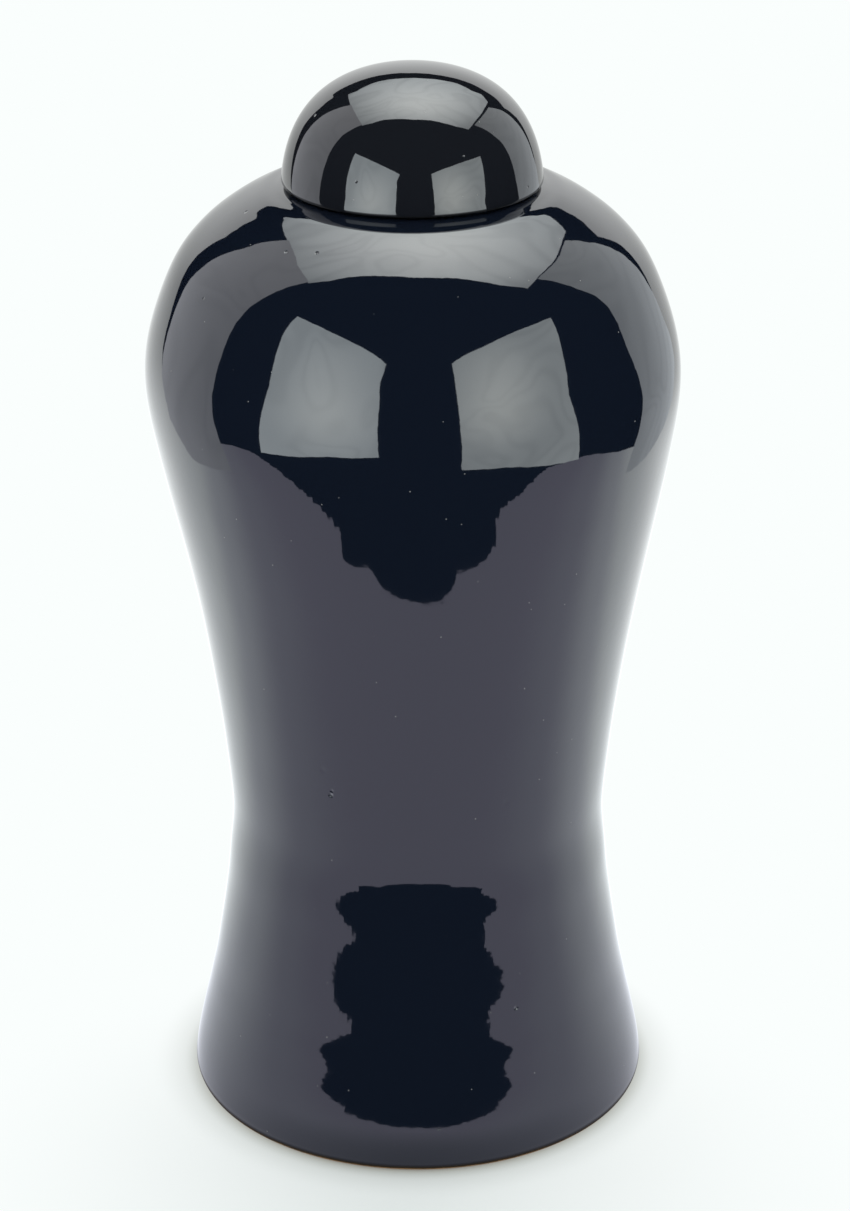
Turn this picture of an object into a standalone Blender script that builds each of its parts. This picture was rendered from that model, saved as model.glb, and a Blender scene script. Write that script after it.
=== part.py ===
"""A glazed ceramic funeral urn: a waisted jar with high shoulders, and the domed lid that rests on them.

Lengths are in metres and angles in degrees, with +Z up.
The origin is on the table, at the centre of the foot ring.
"""

import math

import bmesh
import bpy
from mathutils import Vector

# Radii of the jar's outside
FOOT_RADIUS = 0.0703
WAIST_RADIUS = 0.0570
SHOULDER_RADIUS = 0.0785

# Heights of the jar's outside, each counted from the one before
HEEL_HEIGHT = 0.0035
FLARE_HEIGHT = 0.0862
FLANK_HEIGHT = 0.1413
CROWN_HEIGHT = 0.0567

# Foot ring, floor and walls of the jar
HEEL_INSET = 0.0017
FOOT_RING_WIDTH = 0.0080
FOOT_RECESS_DEPTH = 0.0040
FOOT_RECESS_DRAFT = 0.0010
JAR_WALL = 0.0050
JAR_FLOOR = 0.0065
FLOOR_ROUNDING = 0.0060

# Seat and neck under the lid
SEAT_MARGIN = 0.0004
NECK_HEIGHT = 0.0100
NECK_WALL = 0.0045
NECK_CLEARANCE = 0.0015
THROAT_ROUNDING = 0.0040

# Lid
LID_RADIUS = 0.0377
LID_HEIGHT = 0.0329
LID_WALL = 0.0050
LID_EDGE_ROUNDING = 0.0009
LID_REST_GAP = 0.0003

# Lean of the lid's side at its rim, inwards from upright
LID_RIM_LEAN = 4.4

# How far the lid's side runs straight, and its top flat, as shares of its height and radius
LID_SIDE_FULLNESS = 0.546
LID_TOP_FULLNESS = 0.707

# The flare, flank and crown between their ends: share of the way up, share of the way across,
# and steepness across there compared with a straight line from end to end
FLARE_SHAPE = (
    (0.000, 0.000, 0.00),
    (0.118, 0.121, 1.43),
    (0.451, 0.577, 1.09),
    (0.881, 0.948, 0.61),
    (1.000, 1.000, 0.00),
)
FLANK_SHAPE = (
    (0.000, 0.000, 0.00),
    (0.068, 0.027, 0.53),
    (0.519, 0.429, 1.24),
    (0.839, 0.858, 1.22),
    (1.000, 1.000, 0.00),
)
CROWN_SHAPE = (
    (0.000, 0.000, 0.00),
    (0.520, 0.190, 0.58),
    (1.000, 1.000, 3.43),
)

# Facets
TURNS = 48
CURVE_STEPS = 24
ROUNDING_STEPS = 3
LIP_STEPS = 5
OUTSIDE_TOLERANCE = 0.00009
INSIDE_TOLERANCE = 0.00030
SHARP_ANGLE = 35

# Handle of a cubic curve that draws a quarter circle, as a share of its radius
ARC_HANDLE = 0.5523

# Heights above the table that follow from those above
WAIST_LEVEL = HEEL_HEIGHT + FLARE_HEIGHT
SHOULDER_LEVEL = WAIST_LEVEL + FLANK_HEIGHT
SEAT_LEVEL = SHOULDER_LEVEL + CROWN_HEIGHT
LID_LEVEL = SEAT_LEVEL + LID_REST_GAP
FLOOR_LEVEL = FOOT_RECESS_DEPTH + JAR_FLOOR


def clear_scene():
    for obj in list(bpy.data.objects):
        bpy.data.objects.remove(obj)


def cubic(start, start_handle, end_handle, end, steps):
    """Points of a cubic curve after its start, each as (radius, height)."""
    points = []
    for step in range(1, steps + 1):
        t = step / steps
        s = 1 - t
        points.append(start * s**3 + start_handle * 3 * s * s * t + end_handle * 3 * s * t * t + end * t**3)
    return points


def span(low, high, shape):
    """The outline from one main level to the next, drawn through the shape's stations, with its start."""
    across = high.x - low.x
    up = high.y - low.y
    stations = []
    for share_up, share_across, steepness in shape:
        point = Vector((low.x + across * share_across, low.y + up * share_up))
        heading = Vector((steepness * across / up, 1)).normalized()
        stations.append((point, heading))
    points = [low]
    for (start, leaving), (end, arriving) in zip(stations, stations[1:]):
        handle = (end - start).length / 3
        points += cubic(start, start + leaving * handle, end - arriving * handle, end, CURVE_STEPS)
    return points


def quarter_round(start, corner, end):
    """Points of a quarter round from start to end, after the start. The corner is the one it rounds off."""
    return cubic(start, start.lerp(corner, ARC_HANDLE), end.lerp(corner, ARC_HANDLE), end, ROUNDING_STEPS)


def thinned(points, tolerance):
    """Few enough of the points to keep the outline within the tolerance."""
    heading = (points[-1] - points[0]).normalized()
    sideways = Vector((-heading.y, heading.x))
    distances = [abs((point - points[0]).dot(sideways)) for point in points]
    furthest = distances.index(max(distances))
    if distances[furthest] <= tolerance:
        return [points[0], points[-1]]
    return thinned(points[: furthest + 1], tolerance)[:-1] + thinned(points[furthest:], tolerance)


def offset_inwards(points, distance):
    """The same outline moved towards the axis by a wall's thickness, square to it at every point."""
    moved = []
    for index, point in enumerate(points):
        before = points[max(index - 1, 0)]
        after = points[min(index + 1, len(points) - 1)]
        heading = (after - before).normalized()
        moved.append(point + Vector((-heading.y, heading.x)) * distance)
    return moved


def radius_at(points, height):
    """Radius of an outline at a height, read between its points."""
    for low, high in zip(points, points[1:]):
        if min(low.y, high.y) <= height <= max(low.y, high.y):
            share = (height - low.y) / (high.y - low.y)
            return low.lerp(high, share).x
    return points[-1].x


def jar_outside():
    """The jar's outline from the widest part of the foot up to the seat."""
    foot = Vector((FOOT_RADIUS, HEEL_HEIGHT))
    waist = Vector((WAIST_RADIUS, WAIST_LEVEL))
    shoulder = Vector((SHOULDER_RADIUS, SHOULDER_LEVEL))
    seat = Vector((LID_RADIUS + SEAT_MARGIN, SEAT_LEVEL))
    flare = span(foot, waist, FLARE_SHAPE)
    flank = span(waist, shoulder, FLANK_SHAPE)
    crown = span(shoulder, seat, CROWN_SHAPE)
    return flare + flank[1:] + crown[1:]


def lid_outside():
    """The lid's outline from its rim up to its top, on the axis."""
    rim = Vector((LID_RADIUS, LID_LEVEL))
    top = Vector((0, LID_LEVEL + LID_HEIGHT))
    lean = math.radians(LID_RIM_LEAN)
    side_handle = Vector((-math.sin(lean), math.cos(lean))) * LID_HEIGHT * LID_SIDE_FULLNESS
    top_handle = Vector((LID_RADIUS * LID_TOP_FULLNESS, 0))
    return [rim] + cubic(rim, rim + side_handle, top + top_handle, top, CURVE_STEPS)


def lid_inside():
    """The lid's hollow, from its rim up to the axis."""
    inside = offset_inwards(lid_outside(), LID_WALL)
    inside[0] = Vector((inside[0].x, LID_LEVEL))
    inside[-1] = Vector((0, LID_LEVEL + LID_HEIGHT - LID_WALL))
    return thinned(inside, INSIDE_TOLERANCE)


def neck_radius():
    """Outer radius of the neck: what passes into the lid's hollow as far as the lip."""
    return radius_at(lid_inside(), LID_LEVEL + NECK_HEIGHT) - NECK_CLEARANCE


def jar_inside(mouth_radius):
    """The jar's hollow from the middle of its floor up to the top of its throat."""
    wall = offset_inwards(jar_outside(), JAR_WALL)
    corner_level = FLOOR_LEVEL + FLOOR_ROUNDING
    corner_radius = radius_at(wall, corner_level)
    floor_edge = Vector((corner_radius - FLOOR_ROUNDING, FLOOR_LEVEL))
    wall_foot = Vector((corner_radius, corner_level))
    corner = Vector((corner_radius, FLOOR_LEVEL))
    ceiling = wall[-1].y
    above_corner = [wall_foot] + [point for point in wall if point.y > corner_level]
    throat_start = Vector((mouth_radius + THROAT_ROUNDING, ceiling))
    throat_end = Vector((mouth_radius, ceiling + THROAT_ROUNDING))
    throat_corner = Vector((mouth_radius, ceiling))
    points = [Vector((0, FLOOR_LEVEL)), floor_edge]
    points += quarter_round(floor_edge, corner, wall_foot)
    points += thinned(above_corner, INSIDE_TOLERANCE)[1:] + [throat_start]
    points += quarter_round(throat_start, throat_corner, throat_end)
    return points


def lip(mouth_radius):
    """The neck from the foot of its lip inside, over the lip and down its outside to the seat."""
    half_wall = NECK_WALL / 2
    middle = Vector((mouth_radius + half_wall, SEAT_LEVEL + NECK_HEIGHT - half_wall))
    points = []
    for step in range(LIP_STEPS + 1):
        angle = math.pi * (1 - step / LIP_STEPS)
        points.append(middle + Vector((math.cos(angle), math.sin(angle))) * half_wall)
    points.append(Vector((mouth_radius + NECK_WALL, SEAT_LEVEL)))
    return points


def foot_ring():
    """Down from the foot's widest part: the heel, the flat ring on the table and the recess inside it."""
    widest = Vector((FOOT_RADIUS, HEEL_HEIGHT))
    ring_outside = FOOT_RADIUS - HEEL_INSET
    ring_inside = ring_outside - FOOT_RING_WIDTH
    heel_corner = Vector((FOOT_RADIUS, 0))
    points = quarter_round(widest, heel_corner, Vector((ring_outside, 0)))
    points.append(Vector((ring_inside, 0)))
    points.append(Vector((ring_inside - FOOT_RECESS_DRAFT, FOOT_RECESS_DEPTH)))
    points.append(Vector((0, FOOT_RECESS_DEPTH)))
    return points


def jar_section():
    """Half the jar's section: from the middle of the floor, up inside, over the lip and down outside."""
    mouth_radius = neck_radius() - NECK_WALL
    outside = thinned(jar_outside(), OUTSIDE_TOLERANCE)
    outside.reverse()
    return jar_inside(mouth_radius) + lip(mouth_radius) + outside + foot_ring()


def lid_section():
    """Half the lid's section: from the middle of its hollow, down to the rim and up outside."""
    inside = lid_inside()
    inside.reverse()
    outside = thinned(lid_outside(), OUTSIDE_TOLERANCE)
    rim = outside[0]
    edge_level = LID_LEVEL + LID_EDGE_ROUNDING
    edge_top = Vector((radius_at(outside, edge_level), edge_level))
    edge_bottom = Vector((rim.x - LID_EDGE_ROUNDING, LID_LEVEL))
    edge = [edge_bottom] + quarter_round(edge_bottom, rim, edge_top)
    return inside + edge + outside[1:]


def turned(name, section, material):
    """A closed solid of revolution about the Z axis. Both ends of the section lie on the axis."""
    bm = bmesh.new()
    verts = [bm.verts.new((point.x, 0, point.y)) for point in section]
    edges = [bm.edges.new(pair) for pair in zip(verts, verts[1:])]
    bmesh.ops.spin(
        bm,
        geom=verts + edges,
        cent=(0, 0, 0),
        axis=(0, 0, 1),
        angle=2 * math.pi,
        steps=TURNS,
        use_merge=True,
    )
    bmesh.ops.remove_doubles(bm, verts=bm.verts, dist=1e-6)
    bmesh.ops.recalc_face_normals(bm, faces=bm.faces)
    mesh = bpy.data.meshes.new(name)
    bm.to_mesh(mesh)
    bm.free()
    mesh.shade_smooth()
    mesh.set_sharp_from_angle(angle=math.radians(SHARP_ANGLE))
    mesh.materials.append(material)
    obj = bpy.data.objects.new(name, mesh)
    bpy.context.scene.collection.objects.link(obj)
    return obj


def glaze(name, color):
    """A dark, wet-looking gloss glaze."""
    material = bpy.data.materials.new(name)
    material.use_nodes = True
    shader = material.node_tree.nodes["Principled BSDF"]
    shader.inputs["Base Color"].default_value = (*color, 1)
    shader.inputs["Roughness"].default_value = 0.06
    shader.inputs["Metallic"].default_value = 0.0
    shader.inputs["IOR"].default_value = 1.52
    material.diffuse_color = (*color, 1)
    return material


clear_scene()
turned("jar", jar_section(), glaze("midnight_glaze", (0.005, 0.007, 0.015)))
turned("lid", lid_section(), glaze("lid_glaze", (0.006, 0.007, 0.010)))
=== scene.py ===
"""Looks of the funeral urn: its wet-looking dark glazes, and the light tent that they mirror.

Lengths are in metres, angles in degrees and colours in linear light, with +Z up.
The glazes are almost black, so most of what shows on them is the tent around the urn.
"""

import math

import bmesh
import bpy
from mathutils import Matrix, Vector, noise


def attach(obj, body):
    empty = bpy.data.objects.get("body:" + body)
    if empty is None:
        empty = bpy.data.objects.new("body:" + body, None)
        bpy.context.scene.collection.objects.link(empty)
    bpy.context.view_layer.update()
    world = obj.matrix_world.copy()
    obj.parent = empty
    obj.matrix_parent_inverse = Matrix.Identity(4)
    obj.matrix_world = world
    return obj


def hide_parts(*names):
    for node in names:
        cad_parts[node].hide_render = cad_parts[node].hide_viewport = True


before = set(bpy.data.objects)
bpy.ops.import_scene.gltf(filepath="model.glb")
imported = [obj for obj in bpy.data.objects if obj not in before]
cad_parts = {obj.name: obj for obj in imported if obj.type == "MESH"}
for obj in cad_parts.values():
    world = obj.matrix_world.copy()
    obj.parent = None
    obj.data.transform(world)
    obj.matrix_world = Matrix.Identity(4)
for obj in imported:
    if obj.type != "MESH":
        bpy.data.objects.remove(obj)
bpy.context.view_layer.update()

# Radii of the jar's outside
FOOT_RADIUS = 0.0703
WAIST_RADIUS = 0.0570
SHOULDER_RADIUS = 0.0785

# Heights of the jar's outside, each counted from the one before
HEEL_HEIGHT = 0.0035
FLARE_HEIGHT = 0.0862
FLANK_HEIGHT = 0.1413
CROWN_HEIGHT = 0.0567

# Foot ring, floor and walls of the jar
HEEL_INSET = 0.0017
FOOT_RING_WIDTH = 0.0080
FOOT_RECESS_DEPTH = 0.0040
FOOT_RECESS_DRAFT = 0.0010
JAR_WALL = 0.0050
JAR_FLOOR = 0.0065
FLOOR_ROUNDING = 0.0060

# Seat and neck under the lid. Beside the lid the crown is dipped, by less and less out to a radius
SEAT_MARGIN = 0.0004
SEAT_DIP = 0.0009
SEAT_DIP_RADIUS = 0.0435
NECK_HEIGHT = 0.0100
NECK_WALL = 0.0045
NECK_CLEARANCE = 0.0015
THROAT_ROUNDING = 0.0040

# Lid. Its rounded edge hangs a little lower than the rim of its hollow
LID_RADIUS = 0.0377
LID_HEIGHT = 0.0329
LID_WALL = 0.0050
LID_EDGE_ROUNDING = 0.0009
LID_EDGE_DROP = 0.0006
LID_EDGE_WIDTH = 0.0016
LID_REST_GAP = 0.0003
LID_RIM_LEAN = 4.4
LID_SIDE_FULLNESS = 0.546
LID_TOP_FULLNESS = 0.707

# The flare, flank and crown between their ends: share of the way up, share of the way across,
# and steepness across there compared with a straight line from end to end
FLARE_SHAPE = (
    (0.000, 0.000, 0.00),
    (0.118, 0.121, 1.43),
    (0.451, 0.577, 1.09),
    (0.881, 0.948, 0.61),
    (1.000, 1.000, 0.00),
)
FLANK_SHAPE = (
    (0.000, 0.000, 0.00),
    (0.068, 0.027, 0.53),
    (0.519, 0.429, 1.24),
    (0.839, 0.858, 1.22),
    (1.000, 1.000, 0.00),
)
CROWN_SHAPE = (
    (0.000, 0.000, 0.00),
    (0.520, 0.190, 0.58),
    (1.000, 1.000, 3.43),
)

# Heights above the table that follow from those above
WAIST_LEVEL = HEEL_HEIGHT + FLARE_HEIGHT
SHOULDER_LEVEL = WAIST_LEVEL + FLANK_HEIGHT
SEAT_LEVEL = SHOULDER_LEVEL + CROWN_HEIGHT
LID_LEVEL = SEAT_LEVEL + LID_REST_GAP
FLOOR_LEVEL = FOOT_RECESS_DEPTH + JAR_FLOOR

# How finely the surfaces are drawn
TURNS = 240
ROW_SPACING = 0.0011
CURVE_STEPS = 60
ROUNDING_STEPS = 8
LIP_STEPS = 12
INSIDE_SPACING = 0.0060
BLEND_WIDTH = 0.0040
BLEND_PASSES = 40
ARC_HANDLE = 0.5523
SHARP_ANGLE = 35
MERGE_DISTANCE = 0.000001

# Hand-made unevenness: the lower jar stands a little to one side of the shoulder,
# and the glaze lies in slow waves
LEAN = 0.0014
LEAN_FROM = 0.155
LEAN_TO = 0.245
WAVE_DEPTH = 0.00005
WAVE_LENGTH = 0.035

# Faint throwing rings and the fuller crown beside the lid: height, and what they add to the radius
RINGS = (
    (0.0080, 0.00000),
    (0.0200, -0.00003),
    (0.0270, -0.00007),
    (0.0320, -0.00006),
    (0.0380, -0.00010),
    (0.0490, -0.00003),
    (0.0670, -0.00014),
    (0.0780, 0.00001),
    (0.0950, -0.00027),
    (0.1150, -0.00014),
    (0.1400, 0.00000),
    (0.2600, 0.00000),
    (0.2700, 0.00005),
    (0.2775, 0.00025),
    (0.2825, 0.00044),
    (0.2850, 0.00030),
    (0.2870, -0.00020),
)

# Camera, looking down at the urn. Sensor and lens are in millimetres, and the sensor spans the
# picture's height
CAMERA_DISTANCE = 0.9673
CAMERA_HEIGHT = 0.5741
CAMERA_PITCH = 23.423
CAMERA_TURN = -0.214
SENSOR_HEIGHT = 36.0
LENS_LENGTH = 104.05
CLIP_START = 0.01

# Backdrop and floor as the camera sees them. The floor turns from matt to glowing between two
# distances from a middle, the first of them below zero, so that it glows a little even there
BACKDROP_COLOR = (0.956, 0.991, 0.983)
FLOOR_ALBEDO = (0.955, 0.985, 0.975)
FLOOR_DROP = 0.0002
FLOOR_REACH = 12.0
FADE_MIDDLE = (-0.005, -0.095, 0.0)
FADE_FROM = -0.050
FADE_TO = 0.160

# Painted shade close round the foot, on top of the floor's rendered shade: what it leaves of the floor's
# light, in a narrow ring and a wider one
NARROW_SHADE = (0.69, 0.69, 0.66)
NARROW_SHADE_FROM = 0.0670
NARROW_SHADE_TO = 0.0748
WIDE_SHADE = (0.71, 0.715, 0.70)
WIDE_SHADE_FROM = 0.062
WIDE_SHADE_TO = 0.085

# Glazes and clay
JAR_COLOR = (0.0055, 0.0085, 0.0165)
LID_COLOR = (0.0098, 0.0112, 0.0150)
JAR_THIN_COLOR = (0.030, 0.020, 0.009)
LID_THIN_COLOR = (0.014, 0.011, 0.007)
CLAY_COLOR = (0.42, 0.24, 0.12)
DUST_COLOR = (0.20, 0.20, 0.19)
GLAZE_ROUGHNESS = 0.030
GLAZE_IOR = 1.70
MATT_ROUGHNESS = 0.70

# The jar's faces below this height are bare clay, its second material
CLAY_LINE = 0.0003
CLAY_SLOT = 1

# Where the glaze thins above the jar's foot and the lid's rim: bare clay below the first height,
# thin brown glaze at the second and full glaze from the third, each a little uneven. The lid's first
# height lies below its edge, so that no clay shows there
JAR_GLAZE_LINES = (0.0003, 0.0007, 0.0020)
LID_GLAZE_LINES = (-0.0040, -0.0012, 0.0004)
THIN_WANDER = 0.0006
THIN_SIZE = 0.0060
THIN_DETAIL = 3

# Ripples in the glaze: a ripple's size, its noise's detail and its height
FINE_RIPPLE_SIZE = 0.0035
FINE_RIPPLE_DETAIL = 1
FINE_RIPPLE_HEIGHT = 0.000010
BROAD_RIPPLE_SIZE = 0.0140
BROAD_RIPPLE_DETAIL = 0
BROAD_RIPPLE_HEIGHT = 0.000060

# Dust specks: size of the cells that may hold one, a speck's share of its cell, how many times wider
# its soft edge makes it, and the share of cells that hold none
DUST_CELL = 0.0048
DUST_SHARE = 0.030
DUST_SOFT_EDGE = 1.5
DUST_RARITY = 0.55

# Pinholes and small blemishes: angle round from the front, height, radius and depth
JAR_BLEMISHES = (
    (28.3, 0.0474, 0.0009, 0.00032),
    (5.2, 0.0139, 0.0006, 0.00030),
    (-73.7, 0.2824, 0.0008, 0.00035),
    (-40.2, 0.2794, 0.0007, 0.00030),
    (-30.0, 0.2804, 0.0007, 0.00030),
    (-58.2, 0.2644, 0.0006, 0.00030),
    (-25.4, 0.1181, 0.0011, 0.00035),
    (-25.0, 0.1196, 0.0009, 0.00020),
    (25.9, 0.1153, 0.0015, 0.00006),
    (-27.3, 0.1262, 0.0015, 0.00008),
)
LID_BLEMISHES = (
    (-25.4, 0.2969, 0.0005, 0.00012),
    (60.4, 0.2912, 0.0005, 0.00012),
    (-67.8, 0.3099, 0.0006, 0.00015),
    (25.0, 0.3034, 0.0005, 0.00010),
)

# Middle of what mirrors the tent, from which the panels' hot spots are reckoned
TENT_MIDDLE = (0.0, -0.05, 0.25)

# Side panels: how far out, and (y, z) along the front and rear edges, from low to high
LEFT_SIDE_X = -0.400
LEFT_SIDE_FRONT = (
    (-0.058, -0.002),
    (-0.050, 0.120),
    (-0.042, 0.220),
    (-0.043, 0.400),
    (-0.030, 0.600),
    (-0.045, 0.875),
)
LEFT_SIDE_REAR = (
    (0.235, -0.002),
    (0.228, 0.090),
    (0.285, 0.180),
    (0.305, 0.360),
    (0.320, 0.600),
    (0.350, 0.875),
)
RIGHT_SIDE_X = 0.400
RIGHT_SIDE_FRONT = (
    (0.093, -0.002),
    (0.102, 0.090),
    (0.092, 0.170),
    (0.058, 0.280),
    (0.058, 0.450),
    (0.020, 0.735),
)
RIGHT_SIDE_REAR = (
    (0.600, -0.002),
    (0.580, 0.070),
    (0.470, 0.160),
    (0.412, 0.260),
    (0.405, 0.550),
    (0.350, 0.690),
)

# Top panel: its height, and (x, y) along the front and rear edges, from left to right
TOP_LEVEL = 0.885
TOP_FRONT = (
    (-0.414, -0.057),
    (-0.307, -0.070),
    (-0.226, -0.058),
    (-0.110, -0.071),
    (0.008, -0.089),
    (0.128, -0.085),
    (0.230, -0.094),
    (0.343, -0.100),
    (0.501, -0.073),
)
TOP_REAR = (
    (-0.414, 0.676),
    (-0.324, 0.640),
    (-0.200, 0.760),
    (-0.100, 0.810),
    (0.010, 0.830),
    (0.240, 0.800),
    (0.360, 0.710),
    (0.470, 0.780),
    (0.568, 0.675),
)

# Windows in front: places from the near edge to the far one, in rows from the top down
LEFT_WINDOW = (
    ((-0.245, -0.152, 0.467), (-0.247, -0.350, 0.529), (-0.253, -1.236, 0.807)),
    ((-0.253, -0.170, 0.290), (-0.235, -0.350, 0.310), (-0.220, -0.900, 0.560)),
    ((-0.260, -0.155, 0.129), (-0.220, -0.350, 0.116), (-0.158, -0.659, 0.052)),
)
RIGHT_WINDOW = (
    ((0.300, -0.125, 0.445), (0.320, -0.390, 0.533), (0.377, -1.204, 0.805)),
    ((0.301, -0.164, 0.270), (0.280, -0.350, 0.300), (0.285, -0.865, 0.430)),
    ((0.302, -0.125, 0.096), (0.241, -0.330, 0.075), (0.183, -0.526, 0.011)),
)

# The white sheet under the urn: its drooping front and side edges from left to right as (x, y, droop)
SWEEP_FRONT = (
    (-0.534, -0.072, 0.000),
    (-0.572, -0.148, 0.010),
    (-0.592, -0.216, 0.020),
    (-0.556, -0.251, 0.030),
    (-0.493, -0.267, 0.033),
    (-0.415, -0.279, 0.035),
    (-0.346, -0.280, 0.034),
    (-0.300, -0.274, 0.030),
    (-0.250, -0.266, 0.022),
    (-0.200, -0.261, 0.018),
    (-0.164, -0.261, 0.014),
    (-0.155, -0.241, 0.014),
    (-0.139, -0.243, 0.013),
    (-0.099, -0.259, 0.012),
    (-0.087, -0.256, 0.011),
    (-0.070, -0.251, 0.010),
    (-0.034, -0.250, 0.009),
    (0.000, -0.250, 0.008),
    (0.034, -0.250, 0.009),
    (0.068, -0.251, 0.010),
    (0.081, -0.256, 0.011),
    (0.087, -0.264, 0.012),
    (0.102, -0.261, 0.012),
    (0.158, -0.251, 0.014),
    (0.184, -0.255, 0.018),
    (0.196, -0.276, 0.020),
    (0.218, -0.288, 0.022),
    (0.250, -0.288, 0.026),
    (0.295, -0.290, 0.031),
    (0.330, -0.298, 0.033),
    (0.413, -0.311, 0.035),
    (0.476, -0.308, 0.033),
    (0.512, -0.255, 0.030),
    (0.525, -0.200, 0.020),
    (0.508, -0.136, 0.010),
    (0.482, -0.073, 0.000),
    (0.445, 0.039, 0.000),
)

# How far back the sheet droops, and its torn front edge: the spacing of its points, the size and depth
# of the tears, and the half widths up to which it is whole and from which it is fully torn
DROOP_REACH = 0.100
RAG_STEP = 0.0025
RAG_SIZE = 0.011
RAG_DEPTH = 0.010
SMOOTH_HALF_WIDTH = 0.130
RAGGED_HALF_WIDTH = 0.200

# The sheet's bend behind the urn at its left and right ends, as (y, z), and its top edge as (x, z)
SWEEP_HALF_WIDTH = 0.450
SWEEP_LEFT_BEND = (
    (0.130, 0.000),
    (0.240, 0.075),
    (0.351, 0.177),
    (0.409, 0.250),
    (0.485, 0.344),
    (0.516, 0.389),
    (0.525, 0.452),
)
SWEEP_RIGHT_BEND = (
    (0.350, 0.000),
    (0.480, 0.015),
    (0.530, 0.080),
    (0.500, 0.206),
    (0.510, 0.290),
    (0.540, 0.350),
    (0.570, 0.430),
)
SWEEP_REAR = 0.550
SWEEP_TOP = (
    (-0.450, 0.560),
    (-0.420, 0.589),
    (-0.357, 0.625),
    (-0.300, 0.575),
    (-0.200, 0.600),
    (0.000, 0.585),
    (0.120, 0.605),
    (0.260, 0.605),
    (0.370, 0.574),
    (0.450, 0.570),
)

# The sheet's glow at places along it, each reckoned as its y plus its z
SWEEP_GLOW = (
    (-0.170, (0.77, 0.74, 0.91)),
    (-0.080, (0.85, 0.85, 1.00)),
    (0.030, (1.17, 1.22, 1.32)),
    (0.120, (1.44, 1.52, 1.55)),
    (0.300, (1.50, 1.56, 1.57)),
    (0.650, (0.86, 0.88, 0.87)),
    (1.050, (1.26, 1.28, 1.28)),
)

# The urn's shade painted on the sheet's glow: soft before the foot, and dark where the foot meets it
SOFT_SHADE_MIDDLE = (0.0, -0.070, 0.0)
SOFT_SHADE = (0.47, 0.47, 0.45)
SOFT_SHADE_TO = 0.110
CONTACT_SHADE = (0.15, 0.13, 0.11)
CONTACT_SHADE_FROM = 0.0700
CONTACT_SHADE_TO = 0.0730

# The glow of the panels and windows
LEFT_SIDE_GLOW = (1.43, 1.43, 1.48)
RIGHT_SIDE_GLOW = (1.55, 1.61, 1.63)
TOP_GLOW = (5.3, 5.5, 5.4)
LEFT_WINDOW_GLOW = (4.0, 4.27, 4.26)
RIGHT_WINDOW_GLOW = (3.75, 3.95, 3.85)

# Towards each panel's hot spot from the tent's middle, how far it spreads and what is left beyond
TOP_HOT_SPOT = ((0.080, 0.250, 0.965), 0.85, 0.30)
LEFT_WINDOW_HOT_SPOT = ((-0.600, -0.790, 0.080), 0.55, 0.69)
RIGHT_WINDOW_HOT_SPOT = ((0.600, -0.790, 0.130), 0.55, 0.62)
SIDE_HOT_SPOT = ((0.000, 0.300, 0.954), 2.00, 0.70)

# Soft folds in the lamps' cloth: the noise that they follow, how many there are, half the way from
# one to the next, their width and depth, and the middle and depth of the clouding between them
FOLD_SIZE = 0.60
FOLD_DETAIL = 0.5
FOLD_WINDING = 1.2
FOLD_LINES = 6.0
FOLD_HALF = 0.5
FOLD_WIDTH = 0.34
FOLD_DEPTH = 0.05
CLOUD_MIDDLE = 0.5
CLOUD_DEPTH = 0.10

# What a lamp's colour is multiplied by where it is dimmest
LAMP_EDGE_TINT = (0.96, 0.99, 1.03)

# The Mix node's sockets for colours: its two inputs and its result
MIX_FIRST = 6
MIX_SECOND = 7
MIX_RESULT = 2


def cubic(start, start_handle, end_handle, end, steps):
    """Points of a cubic curve after its start, each as (radius, height)."""
    points = []
    for step in range(1, steps + 1):
        t = step / steps
        s = 1 - t
        points.append(start * s**3 + start_handle * 3 * s * s * t + end_handle * 3 * s * t * t + end * t**3)
    return points


def span(low, high, shape):
    """The outline from one main level to the next, drawn through the shape's stations, with its start."""
    across = high.x - low.x
    up = high.y - low.y
    stations = []
    for share_up, share_across, steepness in shape:
        point = Vector((low.x + across * share_across, low.y + up * share_up))
        heading = Vector((steepness * across / up, 1)).normalized()
        stations.append((point, heading))
    points = [low]
    for (start, leaving), (end, arriving) in zip(stations, stations[1:]):
        handle = (end - start).length / 3
        points += cubic(start, start + leaving * handle, end - arriving * handle, end, CURVE_STEPS)
    return points


def quarter_round(start, corner, end):
    """Points of a quarter round from start to end, after the start. The corner is the one it rounds off."""
    return cubic(start, start.lerp(corner, ARC_HANDLE), end.lerp(corner, ARC_HANDLE), end, ROUNDING_STEPS)


def spaced(points, spacing):
    """The same outline with its points evenly apart, and its ends kept."""
    lengths = [0]
    for start, end in zip(points, points[1:]):
        lengths.append(lengths[-1] + (end - start).length)
    count = max(2, round(lengths[-1] / spacing))
    even = [points[0]]
    index = 0
    for step in range(1, count):
        wanted = lengths[-1] * step / count
        while lengths[index + 1] < wanted:
            index += 1
        share = (wanted - lengths[index]) / (lengths[index + 1] - lengths[index])
        even.append(points[index].lerp(points[index + 1], share))
    even.append(points[-1])
    return even


def blended(points):
    """An evenly spaced outline whose curvature changes gently, as on a thrown pot."""
    rate = BLEND_WIDTH**2 / (BLEND_PASSES * (points[1] - points[0]).length ** 2)
    for _ in range(BLEND_PASSES):
        middle = [
            point + (before + after - point * 2) * (rate / 2)
            for before, point, after in zip(points, points[1:], points[2:])
        ]
        points = [points[0]] + middle + [points[-1]]
    return points


def offset_inwards(points, distance):
    """The same outline moved towards the axis by a wall's thickness, square to it at every point."""
    moved = []
    for index, point in enumerate(points):
        before = points[max(index - 1, 0)]
        after = points[min(index + 1, len(points) - 1)]
        heading = (after - before).normalized()
        moved.append(point + Vector((-heading.y, heading.x)) * distance)
    return moved


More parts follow.
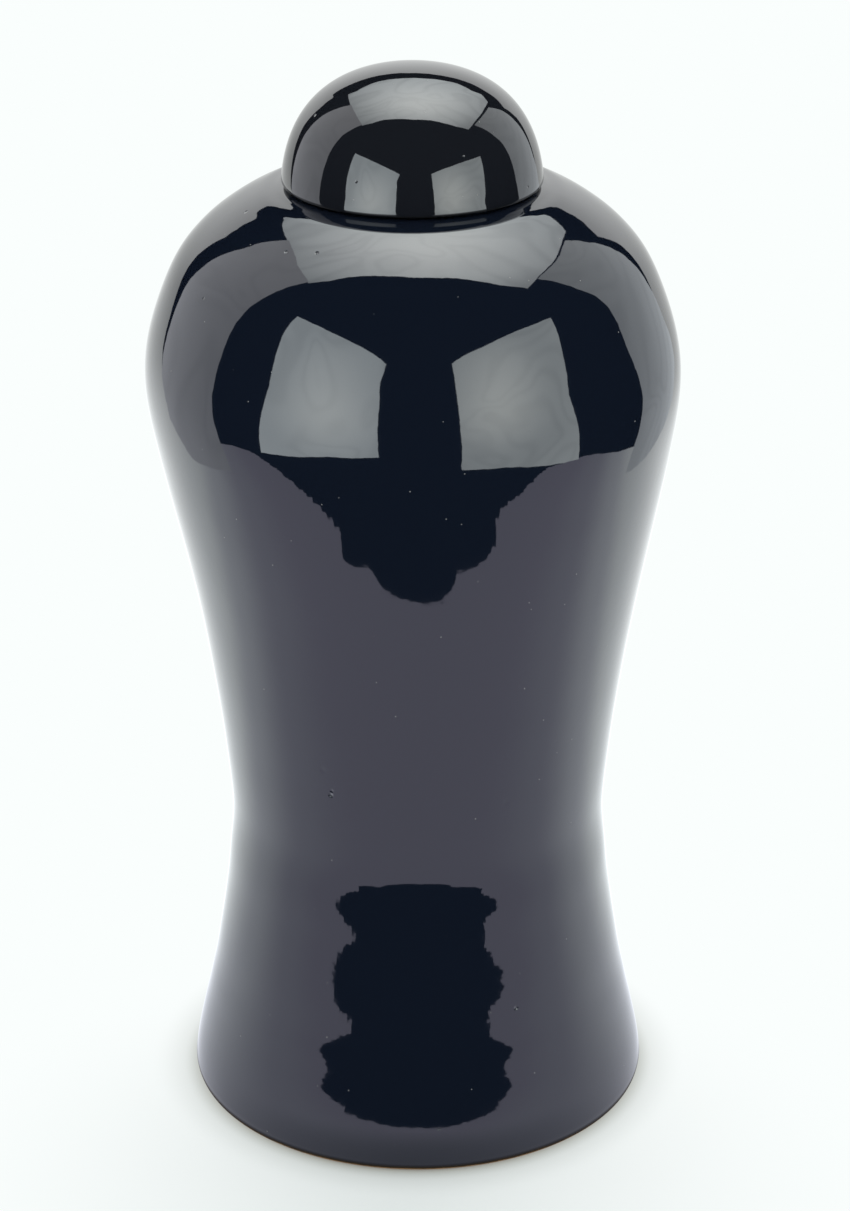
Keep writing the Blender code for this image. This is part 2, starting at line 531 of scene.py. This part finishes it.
def radius_at(points, height):
    """Radius of an outline at a height, read between its points."""
    for low, high in zip(points, points[1:]):
        if min(low.y, high.y) <= height <= max(low.y, high.y):
            share = (height - low.y) / (high.y - low.y)
            return low.lerp(high, share).x
    return points[-1].x


def jar_outside():
    """The jar's outline from the widest part of the foot up to the seat."""
    foot = Vector((FOOT_RADIUS, HEEL_HEIGHT))
    waist = Vector((WAIST_RADIUS, WAIST_LEVEL))
    shoulder = Vector((SHOULDER_RADIUS, SHOULDER_LEVEL))
    seat = Vector((LID_RADIUS + SEAT_MARGIN, SEAT_LEVEL))
    flare = span(foot, waist, FLARE_SHAPE)
    flank = span(waist, shoulder, FLANK_SHAPE)
    crown = span(shoulder, seat, CROWN_SHAPE)
    return spaced(flare + flank[1:] + crown[1:], ROW_SPACING)


def lid_outside():
    """The lid's outline from its rim up to its top, on the axis."""
    rim = Vector((LID_RADIUS, LID_LEVEL))
    top = Vector((0, LID_LEVEL + LID_HEIGHT))
    lean = math.radians(LID_RIM_LEAN)
    side_handle = Vector((-math.sin(lean), math.cos(lean))) * LID_HEIGHT * LID_SIDE_FULLNESS
    top_handle = Vector((LID_RADIUS * LID_TOP_FULLNESS, 0))
    return spaced([rim] + cubic(rim, rim + side_handle, top + top_handle, top, CURVE_STEPS), ROW_SPACING)


def lid_inside():
    """The lid's hollow, from its rim up to the axis."""
    inside = offset_inwards(lid_outside(), LID_WALL)
    inside[0] = Vector((inside[0].x, LID_LEVEL))
    inside[-1] = Vector((0, LID_LEVEL + LID_HEIGHT - LID_WALL))
    return spaced(inside, INSIDE_SPACING)


def neck_radius():
    """Outer radius of the neck: what passes into the lid's hollow as far as the lip."""
    return radius_at(lid_inside(), LID_LEVEL + NECK_HEIGHT) - NECK_CLEARANCE


def jar_inside(mouth_radius):
    """The jar's hollow from the middle of its floor up to the top of its throat."""
    wall = offset_inwards(jar_outside(), JAR_WALL)
    corner_level = FLOOR_LEVEL + FLOOR_ROUNDING
    corner_radius = radius_at(wall, corner_level)
    floor_edge = Vector((corner_radius - FLOOR_ROUNDING, FLOOR_LEVEL))
    wall_foot = Vector((corner_radius, corner_level))
    corner = Vector((corner_radius, FLOOR_LEVEL))
    ceiling = wall[-1].y
    above_corner = [wall_foot] + [point for point in wall if point.y > corner_level]
    throat_start = Vector((mouth_radius + THROAT_ROUNDING, ceiling))
    throat_end = Vector((mouth_radius, ceiling + THROAT_ROUNDING))
    throat_corner = Vector((mouth_radius, ceiling))
    points = spaced([Vector((0, FLOOR_LEVEL)), floor_edge], INSIDE_SPACING)
    points += quarter_round(floor_edge, corner, wall_foot)
    points += spaced(above_corner, INSIDE_SPACING)[1:] + [throat_start]
    points += quarter_round(throat_start, throat_corner, throat_end)
    return points


def lip(mouth_radius):
    """The neck from the foot of its lip inside, over the lip and down its outside to the seat."""
    half_wall = NECK_WALL / 2
    middle = Vector((mouth_radius + half_wall, SEAT_LEVEL + NECK_HEIGHT - half_wall))
    points = []
    for step in range(LIP_STEPS + 1):
        angle = math.pi * (1 - step / LIP_STEPS)
        points.append(middle + Vector((math.cos(angle), math.sin(angle))) * half_wall)
    points.append(Vector((mouth_radius + NECK_WALL, SEAT_LEVEL)))
    return points


def foot_ring():
    """Down from the foot's widest part: the heel, the flat ring on the table and the recess inside it."""
    widest = Vector((FOOT_RADIUS, HEEL_HEIGHT))
    ring_outside = FOOT_RADIUS - HEEL_INSET
    ring_inside = ring_outside - FOOT_RING_WIDTH
    heel_corner = Vector((FOOT_RADIUS, 0))
    points = quarter_round(widest, heel_corner, Vector((ring_outside, 0)))
    points.append(Vector((ring_inside, 0)))
    points.append(Vector((ring_inside - FOOT_RECESS_DRAFT, FOOT_RECESS_DEPTH)))
    points.append(Vector((0, FOOT_RECESS_DEPTH)))
    return points


def dipped(outside):
    """The jar's outline with its crown dipped a little next to the lid."""
    inner_radius = LID_RADIUS + SEAT_MARGIN
    dips = ((inner_radius, SEAT_DIP), (SEAT_DIP_RADIUS, 0))
    lowered = []
    for point in outside:
        dip = smooth_between(dips, point.x) if point.y > SHOULDER_LEVEL else 0
        lowered.append(point - Vector((0, dip)))
    return lowered


def jar_section():
    """Half the jar's section: from the middle of the floor, up inside, over the lip and down outside."""
    mouth_radius = neck_radius() - NECK_WALL
    outside = dipped(blended(jar_outside()))
    outside.reverse()
    return jar_inside(mouth_radius) + lip(mouth_radius) + outside + foot_ring()


def lid_section():
    """Half the lid's section: from the middle of its hollow, down to the rim and up outside."""
    inside = lid_inside()
    inside.reverse()
    outside = lid_outside()
    rim = outside[0]
    edge_level = LID_LEVEL + LID_EDGE_ROUNDING
    edge_top = Vector((radius_at(outside, edge_level), edge_level))
    edge_bottom = Vector((rim.x - LID_EDGE_WIDTH, LID_LEVEL - LID_EDGE_DROP))
    edge_corner = Vector((rim.x, edge_bottom.y))
    edge = [edge_bottom] + quarter_round(edge_bottom, edge_corner, edge_top)
    above_edge = [point for point in outside if point.y > edge_level + LID_EDGE_ROUNDING]
    return inside + edge + above_edge


def lean_at(height):
    """How far the jar stands to the right of the lid's axis at a height."""
    share = min(max((height - LEAN_FROM) / (LEAN_TO - LEAN_FROM), 0), 1)
    return LEAN * (1 - share * share * (3 - 2 * share))


def smooth_between(stations, where):
    """A value read from (place, value) stations, changing gently from each to the next."""
    if where <= stations[0][0]:
        return stations[0][1]
    for (low, low_value), (high, high_value) in zip(stations, stations[1:]):
        if where <= high:
            share = (where - low) / (high - low)
            return low_value + (high_value - low_value) * share * share * (3 - 2 * share)
    return stations[-1][1]


def uneven(place):
    """A place on the turned shape moved to where the hand-made one has it."""
    wave = (noise.noise(place / WAVE_LENGTH) + 1) / 2
    outwards = Vector((place.x, place.y, 0)).normalized()
    ring = smooth_between(RINGS, place.z) if place.z < SEAT_LEVEL else 0
    return place + outwards * (ring - WAVE_DEPTH * wave) + Vector((lean_at(place.z), 0, 0))


def turned(name, section, materials):
    """A closed solid of revolution about the Z axis. Both ends of the section lie on the axis."""
    bm = bmesh.new()
    verts = [bm.verts.new((point.x, 0, point.y)) for point in section]
    edges = [bm.edges.new(pair) for pair in zip(verts, verts[1:])]
    bmesh.ops.spin(
        bm,
        geom=verts + edges,
        cent=(0, 0, 0),
        axis=(0, 0, 1),
        angle=2 * math.pi,
        steps=TURNS,
        use_merge=True,
    )
    bmesh.ops.remove_doubles(bm, verts=bm.verts, dist=MERGE_DISTANCE)
    bmesh.ops.recalc_face_normals(bm, faces=bm.faces)
    for vert in bm.verts:
        vert.co = uneven(vert.co)
    mesh = bpy.data.meshes.new(name)
    bm.to_mesh(mesh)
    bm.free()
    mesh.shade_smooth()
    mesh.set_sharp_from_angle(angle=math.radians(SHARP_ANGLE))
    for material in materials:
        mesh.materials.append(material)
    piece = bpy.data.objects.new(name, mesh)
    bpy.context.scene.collection.objects.link(piece)
    return piece


def add_node(tree, kind, inputs, **settings):
    """A shader node whose inputs are plain values, or other nodes' sockets to link."""
    made = tree.nodes.new(kind)
    for name, value in settings.items():
        setattr(made, name, value)
    for key, value in inputs.items():
        if isinstance(value, bpy.types.NodeSocket):
            tree.links.new(value, made.inputs[key])
        else:
            made.inputs[key].default_value = value
    return made


def math_node(tree, operation, first, second):
    """The result of an operation on two values or sockets."""
    made = add_node(tree, "ShaderNodeMath", {0: first, 1: second}, operation=operation)
    return made.outputs["Value"]


def share_of(tree, value, low, high):
    """How far a value has come from low to high, from 0 to 1 and changing gently."""
    made = add_node(
        tree,
        "ShaderNodeMapRange",
        {"Value": value, "From Min": low, "From Max": high},
        interpolation_type="SMOOTHSTEP",
    )
    return made.outputs["Result"]


def mixed(tree, share, first, second):
    """A colour between two others."""
    made = add_node(tree, "ShaderNodeMix", {0: share, MIX_FIRST: first, MIX_SECOND: second}, data_type="RGBA")
    return made.outputs[MIX_RESULT]


def product(tree, first, second):
    """Two colours multiplied."""
    made = add_node(tree, "ShaderNodeVectorMath", {0: first, 1: second}, operation="MULTIPLY")
    return made.outputs["Vector"]


def grain(tree, place, size, detail):
    """Cloudy noise with clouds of a size, from 0 to 1."""
    return add_node(
        tree, "ShaderNodeTexNoise", {"Vector": place, "Scale": 1 / size, "Detail": detail}
    ).outputs["Fac"]


def dust(tree, place):
    """Sparse specks of dust, as a share from 0 to 1."""
    cells = add_node(tree, "ShaderNodeTexVoronoi", {"Vector": place, "Scale": 1 / DUST_CELL})
    near = share_of(tree, cells.outputs["Distance"], DUST_SHARE * DUST_SOFT_EDGE, DUST_SHARE)
    lot = add_node(tree, "ShaderNodeSeparateColor", {"Color": cells.outputs["Color"]}).outputs["Red"]
    return math_node(tree, "MULTIPLY", near, math_node(tree, "GREATER_THAN", lot, DUST_RARITY))


def on_surface(outline, degrees, height):
    """The place on an outline's turned surface at an angle round from the front and a height."""
    angle = math.radians(degrees)
    radius = radius_at(outline, height)
    lean = lean_at(height) if height < SEAT_LEVEL else 0
    return (radius * math.sin(angle) + lean, -radius * math.cos(angle), height)


def pinholes(tree, place, outline, blemishes):
    """How deep the pinholes and blemishes go at a place, in metres."""
    depth = None
    for degrees, height, radius, deepest in blemishes:
        middle = on_surface(outline, degrees, height)
        distance = add_node(tree, "ShaderNodeVectorMath", {0: place, 1: middle}, operation="DISTANCE")
        inside = share_of(tree, distance.outputs["Value"], radius, 0)
        hole = math_node(tree, "MULTIPLY", inside, deepest)
        depth = hole if depth is None else math_node(tree, "MAXIMUM", depth, hole)
    return depth


def relief(tree, place, outline, blemishes):
    """The glaze's ripples less its pinholes, as a height in metres."""
    fine_grain = grain(tree, place, FINE_RIPPLE_SIZE, FINE_RIPPLE_DETAIL)
    fine = math_node(tree, "MULTIPLY", fine_grain, FINE_RIPPLE_HEIGHT)
    broad_grain = grain(tree, place, BROAD_RIPPLE_SIZE, BROAD_RIPPLE_DETAIL)
    broad = math_node(tree, "MULTIPLY", broad_grain, BROAD_RIPPLE_HEIGHT)
    ripples = math_node(tree, "ADD", fine, broad)
    return math_node(tree, "SUBTRACT", ripples, pinholes(tree, place, outline, blemishes))


def glaze(name, color, thin_color, edge_level, lines, outline, blemishes):
    """A dark, wet-looking gloss glaze, thinned to brown where it ends at its lower edge."""
    clay_below, thin_below, full_from = lines
    material = bpy.data.materials.new(name)
    material.use_nodes = True
    tree = material.node_tree
    shader = tree.nodes["Principled BSDF"]
    place = add_node(tree, "ShaderNodeTexCoord", {}).outputs["Object"]
    height = add_node(tree, "ShaderNodeSeparateXYZ", {"Vector": place}).outputs["Z"]
    wander = math_node(tree, "MULTIPLY", grain(tree, place, THIN_SIZE, THIN_DETAIL), THIN_WANDER)
    above = math_node(tree, "SUBTRACT", height, math_node(tree, "ADD", wander, edge_level))
    thin = mixed(tree, share_of(tree, above, clay_below, thin_below), (*CLAY_COLOR, 1), (*thin_color, 1))
    glazed = mixed(tree, share_of(tree, above, thin_below, full_from), thin, (*color, 1))
    specks = dust(tree, place)
    dusty = mixed(tree, specks, glazed, (*DUST_COLOR, 1))
    tree.links.new(dusty, shader.inputs["Base Color"])
    roughness = add_node(
        tree, "ShaderNodeMapRange", {"Value": specks, "To Min": GLAZE_ROUGHNESS, "To Max": MATT_ROUGHNESS}
    ).outputs["Result"]
    tree.links.new(roughness, shader.inputs["Roughness"])
    height_field = relief(tree, place, outline, blemishes)
    bump = add_node(tree, "ShaderNodeBump", {"Strength": 1.0, "Distance": 1.0, "Height": height_field})
    tree.links.new(bump.outputs["Normal"], shader.inputs["Normal"])
    shader.inputs["IOR"].default_value = GLAZE_IOR
    return material


def bare_clay():
    """The unglazed clay of the ring that the jar stands on."""
    material = bpy.data.materials.new("bare_clay")
    material.use_nodes = True
    shader = material.node_tree.nodes["Principled BSDF"]
    shader.inputs["Base Color"].default_value = (*CLAY_COLOR, 1)
    shader.inputs["Roughness"].default_value = MATT_ROUGHNESS
    return material


def lamp_glow(name, color, hot_spot):
    """A lamp's light, as only mirroring surfaces see it: brightest at its hot spot, with soft folds."""
    direction, spread, edge_share = hot_spot
    material = bpy.data.materials.new(name)
    material.use_nodes = True
    tree = material.node_tree
    tree.nodes.clear()
    place = add_node(tree, "ShaderNodeTexCoord", {}).outputs["Object"]
    away = add_node(tree, "ShaderNodeVectorMath", {0: place, 1: TENT_MIDDLE}, operation="SUBTRACT")
    toward = add_node(tree, "ShaderNodeVectorMath", {0: away.outputs["Vector"]}, operation="NORMALIZE")
    toward = toward.outputs["Vector"]
    off = add_node(tree, "ShaderNodeVectorMath", {0: toward, 1: direction}, operation="DISTANCE")
    beyond = share_of(tree, off.outputs["Value"], 0, spread)
    dimming = math_node(tree, "MULTIPLY", beyond, 1 - edge_share)
    cloth = add_node(
        tree,
        "ShaderNodeTexNoise",
        {"Vector": toward, "Scale": 1 / FOLD_SIZE, "Detail": FOLD_DETAIL, "Distortion": FOLD_WINDING},
    ).outputs["Fac"]
    line = math_node(tree, "PINGPONG", math_node(tree, "MULTIPLY", cloth, FOLD_LINES), FOLD_HALF)
    fold = math_node(tree, "MULTIPLY", share_of(tree, line, FOLD_WIDTH, 0), FOLD_DEPTH)
    cloud = math_node(tree, "MULTIPLY", math_node(tree, "SUBTRACT", cloth, CLOUD_MIDDLE), CLOUD_DEPTH)
    even = math_node(tree, "SUBTRACT", 1, dimming)
    strength = math_node(tree, "SUBTRACT", math_node(tree, "ADD", even, cloud), fold)
    edge_color = [part * tint for part, tint in zip(color, LAMP_EDGE_TINT)]
    tinted = mixed(tree, beyond, (*color, 1), (*edge_color, 1))
    emission = add_node(tree, "ShaderNodeEmission", {"Color": tinted, "Strength": strength})
    add_node(tree, "ShaderNodeOutputMaterial", {"Surface": emission.outputs["Emission"]})
    return material


def shade(tree, place, middle, color, low, high):
    """A painted shade of the urn, as what it leaves of the light: a colour near the middle and all of it
    further out.
    """
    distance = add_node(tree, "ShaderNodeVectorMath", {0: place, 1: middle}, operation="DISTANCE")
    return mixed(tree, share_of(tree, distance.outputs["Value"], low, high), (*color, 1), (1, 1, 1, 1))


def sweep_glow():
    """The white sheet's light, which changes along the sheet and has painted shade round the foot."""
    material = bpy.data.materials.new("sweep_glow")
    material.use_nodes = True
    tree = material.node_tree
    tree.nodes.clear()
    place = add_node(tree, "ShaderNodeTexCoord", {}).outputs["Object"]
    parts = add_node(tree, "ShaderNodeSeparateXYZ", {"Vector": place}).outputs
    along = math_node(tree, "ADD", parts["Y"], parts["Z"])
    color = (*SWEEP_GLOW[0][1], 1)
    for (low, _), (high, high_color) in zip(SWEEP_GLOW, SWEEP_GLOW[1:]):
        color = mixed(tree, share_of(tree, along, low, high), color, (*high_color, 1))
    # Painted shade of the urn on the sheet's glow, which the glazes mirror
    soft = shade(tree, place, SOFT_SHADE_MIDDLE, SOFT_SHADE, 0, SOFT_SHADE_TO)
    contact = shade(tree, place, (LEAN, 0, 0), CONTACT_SHADE, CONTACT_SHADE_FROM, CONTACT_SHADE_TO)
    color = product(tree, color, product(tree, soft, contact))
    emission = add_node(tree, "ShaderNodeEmission", {"Color": color, "Strength": 1.0})
    add_node(tree, "ShaderNodeOutputMaterial", {"Surface": emission.outputs["Emission"]})
    return material


def panel(name, rows, material):
    """A sheet of the tent through rows of places. The camera and matt surfaces don't see it."""
    columns = len(rows[0])
    places = [place for row in rows for place in row]
    faces = []
    for row in range(len(rows) - 1):
        for column in range(columns - 1):
            corner = row * columns + column
            faces.append((corner, corner + 1, corner + columns + 1, corner + columns))
    mesh = bpy.data.meshes.new(name)
    mesh.from_pydata(places, [], faces)
    mesh.materials.append(material)
    sheet = bpy.data.objects.new(name, mesh)
    bpy.context.scene.collection.objects.link(sheet)
    sheet.visible_camera = False
    sheet.visible_diffuse = False
    sheet.visible_shadow = False


def side_panel(name, x, front, rear, color):
    """An upright panel beside the urn."""
    rows = [[(x, *low), (x, *high)] for low, high in zip(front, rear)]
    panel(name, rows, lamp_glow(name, color, SIDE_HOT_SPOT))


def top_panel():
    """The panel over the urn."""
    rows = [[(x, y, TOP_LEVEL) for x, y in edge] for edge in (TOP_FRONT, TOP_REAR)]
    panel("top_panel", rows, lamp_glow("top_panel", TOP_GLOW, TOP_HOT_SPOT))


def window(name, rows, color, hot_spot):
    """A bright panel in front of the urn, given by rows of places."""
    panel(name, rows, lamp_glow(name, color, hot_spot))


def ragged_front():
    """The sheet's front edge as places, straight in the middle and torn towards its sides."""
    corners = [Vector((x, y, -droop)) for x, y, droop in SWEEP_FRONT]
    places = []
    for start, end in zip(corners, corners[1:]):
        steps = max(1, round((end - start).length / RAG_STEP))
        places += [start.lerp(end, step / steps) for step in range(steps)]
    torn = []
    for place in places + [corners[-1]]:
        share = (abs(place.x) - SMOOTH_HALF_WIDTH) / (RAGGED_HALF_WIDTH - SMOOTH_HALF_WIDTH)
        tear = noise.noise(place / RAG_SIZE) * RAG_DEPTH * min(max(share, 0), 1)
        torn.append(Vector((place.x, place.y + tear, place.z)))
    return torn


def sweep():
    """The white sheet under the urn, which bends upwards behind it."""
    front = ragged_front()
    rows = [front, [(place.x, place.y + DROOP_REACH, 0) for place in front]]
    across = [min(max(place.x, -SWEEP_HALF_WIDTH), SWEEP_HALF_WIDTH) for place in front]
    for left, right in zip(SWEEP_LEFT_BEND, SWEEP_RIGHT_BEND):
        row = []
        for x in across:
            y, z = Vector(left).lerp(Vector(right), (x / SWEEP_HALF_WIDTH + 1) / 2)
            row.append((x, y, z))
        rows.append(row)
    rows.append([(x, SWEEP_REAR, smooth_between(SWEEP_TOP, x)) for x in across])
    panel("sweep", rows, sweep_glow())


def floor_material():
    """A pale matt floor that shows the urn's rendered shade round its foot, deepened by painted shade rings,
    and is backdrop beyond.
    """
    material = bpy.data.materials.new("pale_floor")
    material.use_nodes = True
    tree = material.node_tree
    tree.nodes.clear()
    place = add_node(tree, "ShaderNodeTexCoord", {}).outputs["Object"]
    distance = add_node(tree, "ShaderNodeVectorMath", {0: place, 1: FADE_MIDDLE}, operation="DISTANCE")
    fade = share_of(tree, distance.outputs["Value"], FADE_FROM, FADE_TO)
    foot = (LEAN, 0, 0)
    # Painted shade rings round the foot, multiplied into both the matt colour and the far glow
    narrow = shade(tree, place, foot, NARROW_SHADE, NARROW_SHADE_FROM, NARROW_SHADE_TO)
    wide = shade(tree, place, foot, WIDE_SHADE, WIDE_SHADE_FROM, WIDE_SHADE_TO)
    left = product(tree, narrow, wide)
    matt_color = product(tree, left, FLOOR_ALBEDO)
    matt = add_node(tree, "ShaderNodeBsdfDiffuse", {"Color": matt_color}).outputs["BSDF"]
    far_color = product(tree, left, BACKDROP_COLOR)
    far = add_node(tree, "ShaderNodeEmission", {"Color": far_color}).outputs["Emission"]
    mix = add_node(tree, "ShaderNodeMixShader", {0: fade, 1: matt, 2: far}).outputs["Shader"]
    add_node(tree, "ShaderNodeOutputMaterial", {"Surface": mix})
    return material


def pale_floor():
    """The floor that the camera sees. The glazes mirror the sweep in its place."""
    signs = [(-1, -1), (1, -1), (1, 1), (-1, 1)]
    corners = [(x * FLOOR_REACH, y * FLOOR_REACH, -FLOOR_DROP) for x, y in signs]
    mesh = bpy.data.meshes.new("pale_floor")
    mesh.from_pydata(corners, [], [(0, 1, 2, 3)])
    mesh.materials.append(floor_material())
    floor = bpy.data.objects.new("pale_floor", mesh)
    bpy.context.scene.collection.objects.link(floor)
    floor.visible_glossy = False


def pale_world():
    """The pale room light, which the glazes don't mirror."""
    world = bpy.data.worlds.new("pale_world")
    world.use_nodes = True
    background = world.node_tree.nodes["Background"]
    background.inputs["Color"].default_value = (*BACKDROP_COLOR, 1)
    world.cycles_visibility.glossy = False
    bpy.context.scene.world = world


def camera():
    """The camera, at the photograph's height, distance and angle."""
    data = bpy.data.cameras.new("camera")
    data.sensor_width = SENSOR_HEIGHT
    data.lens = LENS_LENGTH
    data.clip_start = CLIP_START
    made = bpy.data.objects.new("camera", data)
    made.location = (0, -CAMERA_DISTANCE, CAMERA_HEIGHT)
    made.rotation_euler = (math.radians(90 - CAMERA_PITCH), 0, math.radians(CAMERA_TURN))
    bpy.context.scene.collection.objects.link(made)
    bpy.context.scene.camera = made


jar_glaze = glaze(
    "midnight_glaze", JAR_COLOR, JAR_THIN_COLOR, 0, JAR_GLAZE_LINES, jar_outside(), JAR_BLEMISHES
)
jar = turned("jar_glazed", jar_section(), [jar_glaze, bare_clay()])
for face in jar.data.polygons:
    if face.center.z < CLAY_LINE:
        face.material_index = CLAY_SLOT
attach(jar, "root")
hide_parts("jar")

lid_glaze = glaze(
    "lid_glaze", LID_COLOR, LID_THIN_COLOR, LID_LEVEL, LID_GLAZE_LINES, lid_outside(), LID_BLEMISHES
)
lid = turned("lid_glazed", lid_section(), [lid_glaze])
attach(lid, "root")
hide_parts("lid")

side_panel("left_panel", LEFT_SIDE_X, LEFT_SIDE_FRONT, LEFT_SIDE_REAR, LEFT_SIDE_GLOW)
side_panel("right_panel", RIGHT_SIDE_X, RIGHT_SIDE_FRONT, RIGHT_SIDE_REAR, RIGHT_SIDE_GLOW)
top_panel()
window("left_window", LEFT_WINDOW, LEFT_WINDOW_GLOW, LEFT_WINDOW_HOT_SPOT)
window("right_window", RIGHT_WINDOW, RIGHT_WINDOW_GLOW, RIGHT_WINDOW_HOT_SPOT)
sweep()
pale_floor()
pale_world()
camera()
bpy.context.scene.view_settings.view_transform = "Standard"
